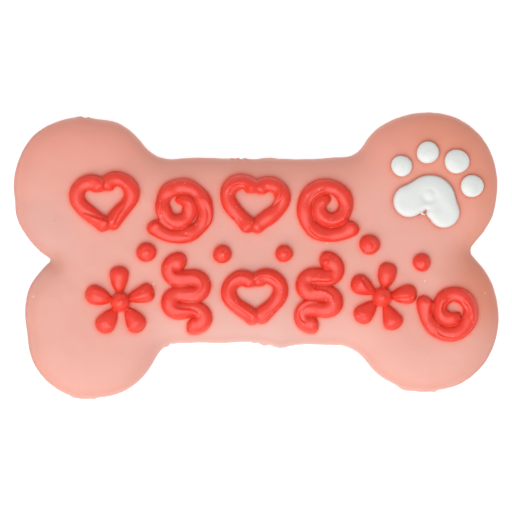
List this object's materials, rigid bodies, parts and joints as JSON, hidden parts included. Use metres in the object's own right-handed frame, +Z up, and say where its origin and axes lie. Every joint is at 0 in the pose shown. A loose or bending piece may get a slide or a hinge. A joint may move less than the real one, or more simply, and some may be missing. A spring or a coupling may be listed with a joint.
{
  "type": "dog biscuit",
  "caption": "Bone-shaped dog biscuit dipped in pink coating, with piped red hearts, swirls, flowers, ribbons and dots and a white iced paw print; lies flat, face up.",
  "frame": {"origin": "middle of the flat underside, which lies on z = 0", "axes": "+X along the bone, +Y across it towards the edge nearest the paw print, +Z up out of the decorated face"},
  "size_m": [0.1528, 0.0897, 0.0165],
  "materials": {
    "pink_coating": "satin",
    "red_icing": "satin gloss",
    "white_icing": "satin gloss"
  },
  "bodies": {
    "root": {"coated_biscuit": "pink_coating", "piped_heart_1": "red_icing", "piped_heart_2": "red_icing", "piped_heart_3": "red_icing", "piped_swirl_1": "red_icing", "piped_swirl_2": "red_icing", "piped_swirl_3": "red_icing", "piped_blossom_1": "red_icing", "piped_blossom_2": "red_icing", "piped_ribbon_1": "red_icing", "piped_ribbon_2": "red_icing", "piped_dot_1": "red_icing", "piped_dot_2": "red_icing", "piped_dot_3": "red_icing", "piped_dot_4": "red_icing", "piped_dot_5": "red_icing", "paw_pad": "white_icing", "paw_toe_1": "white_icing", "paw_toe_2": "white_icing", "paw_toe_3": "white_icing", "paw_toe_4": "white_icing"}
  },
  "joints": []
}
